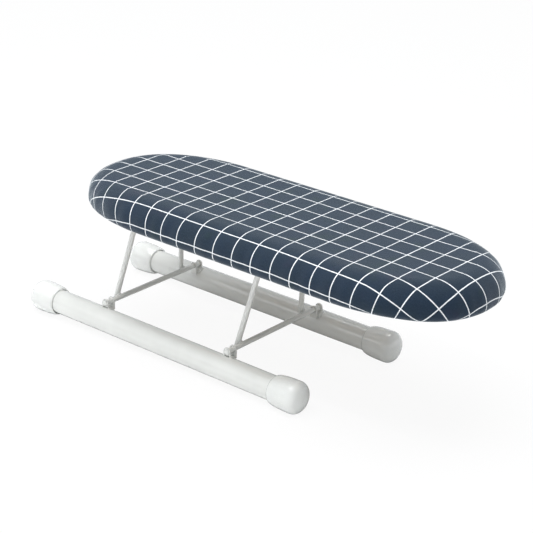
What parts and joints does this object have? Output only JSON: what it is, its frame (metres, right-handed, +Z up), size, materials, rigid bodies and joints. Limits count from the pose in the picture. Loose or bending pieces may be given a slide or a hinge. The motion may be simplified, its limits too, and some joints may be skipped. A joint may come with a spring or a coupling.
{
  "type": "tabletop sleeve ironing board",
  "caption": "Small tabletop ironing board with a padded, checked fabric top on wire legs that fold over sideways onto a base of capped tubes.",
  "frame": {"origin": "on the table, under the middle of the overall bounding box of the open board", "axes": "+Z up, +X along the board towards its free end, +Y towards the rear; the board is symmetric about the XZ plane"},
  "size_m": [0.5146, 0.1798, 0.1611],
  "materials": {
    "white_powder_coat": "glossy white powder coat over steel",
    "white_cap_plastic": "glossy moulded white plastic",
    "checked_fabric": "matt woven cotton, slate blue with a thin white check",
    "foam": "open-cell foam, pale yellow",
    "fibreboard": "smooth brown fibreboard",
    "white_cord": "braided white elastic cord",
    "black_plastic": "satin black plastic",
    "zinc_plate": "bright zinc-plated steel"
  },
  "bodies": {
    "base": {"front_tube": "white_powder_coat", "rear_tube": "white_powder_coat", "front_left_cap": "white_cap_plastic", "front_right_cap": "white_cap_plastic", "rear_left_cap": "white_cap_plastic", "rear_right_cap": "white_cap_plastic", "front_left_bracket": "white_powder_coat", "front_right_bracket": "white_powder_coat", "rear_left_bracket": "white_powder_coat", "rear_right_bracket": "white_powder_coat"},
    "left_leg": {"left_cross_wire": "white_powder_coat", "left_leg_wire": "white_powder_coat"},
    "right_leg": {"right_cross_wire": "white_powder_coat", "right_leg_wire": "white_powder_coat"},
    "board": {"board_panel": "fibreboard", "foam_pad": "foam", "fabric_cover": "checked_fabric", "drawcord": "white_cord", "cord_lock": "black_plastic", "front_left_hinge_strap": "zinc_plate", "rear_left_hinge_strap": "zinc_plate", "front_right_hinge_strap": "zinc_plate", "rear_right_hinge_strap": "zinc_plate", "left_leg_stop": "white_powder_coat", "right_leg_stop": "white_powder_coat", "front_left_strap_screw_a": "zinc_plate", "front_left_strap_screw_b": "zinc_plate", "rear_left_strap_screw_a": "zinc_plate", "rear_left_strap_screw_b": "zinc_plate", "front_right_strap_screw_a": "zinc_plate", "front_right_strap_screw_b": "zinc_plate", "rear_right_strap_screw_a": "zinc_plate", "rear_right_strap_screw_b": "zinc_plate", "left_stop_front_screw": "zinc_plate", "left_stop_rear_screw": "zinc_plate", "right_stop_front_screw": "zinc_plate", "right_stop_rear_screw": "zinc_plate"}
  },
  "joints": [
    {"name": "left_leg_fold", "type": "hinge", "parent": "base", "child": "left_leg", "pos_m": [-0.15815, 0, 0.0333], "axis": [0, -1, 0], "range_deg": [0, 94]},
    {"name": "right_leg_fold", "type": "hinge", "parent": "base", "child": "right_leg", "pos_m": [0.00935, 0, 0.0333], "axis": [0, -1, 0], "range_deg": [0, 94]},
    {"name": "board_swing", "type": "hinge", "parent": "left_leg", "child": "board", "pos_m": [-0.14572, 0, 0.1281], "axis": [0, -1, 0], "range_deg": [-94, 0]}
  ],
  "couplings": [
    {"joint": "right_leg_fold", "follows": "left_leg_fold", "ratio": 1},
    {"joint": "board_swing", "follows": "left_leg_fold", "ratio": -1}
  ]
}
